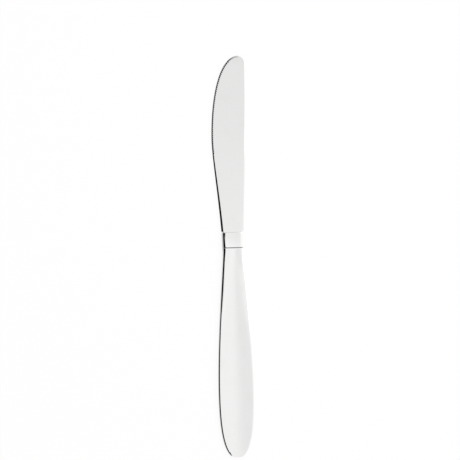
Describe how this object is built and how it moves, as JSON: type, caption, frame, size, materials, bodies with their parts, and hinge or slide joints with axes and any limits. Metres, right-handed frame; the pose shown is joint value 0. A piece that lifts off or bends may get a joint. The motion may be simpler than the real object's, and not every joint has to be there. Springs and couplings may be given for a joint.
{
  "type": "table knife",
  "caption": "Round-tipped table knife with a finely serrated belly, a forged bolster and a smooth hollow oval handle, all in polished stainless steel.",
  "frame": {"origin": "middle of the underside of the knife's bounding box as it lies flat on its side, so z = 0 is the lowest line of the bolster and handle", "axes": "+Y runs along the handle to the blade's tip, +Z is the thickness and points up to the front face seen in the picture, -X is the side of the cutting edge and +X the side of the spine"},
  "size_m": [0.0202, 0.22, 0.0082],
  "materials": {
    "blade_steel": "mirror-polished hardened stainless steel, very fine lengthwise polishing lines, ground edge bevel",
    "handle_steel": "mirror-polished pressed stainless steel",
    "braze": "pale silver-coloured brazing alloy, polished flush with the handle",
    "cement": "cast handle cement of resin and quartz sand, matt"
  },
  "bodies": {
    "root": {"blade": "blade_steel", "handle_front_shell": "handle_steel", "handle_back_shell": "handle_steel", "seam_braze": "braze", "handle_cement": "cement"}
  },
  "joints": []
}
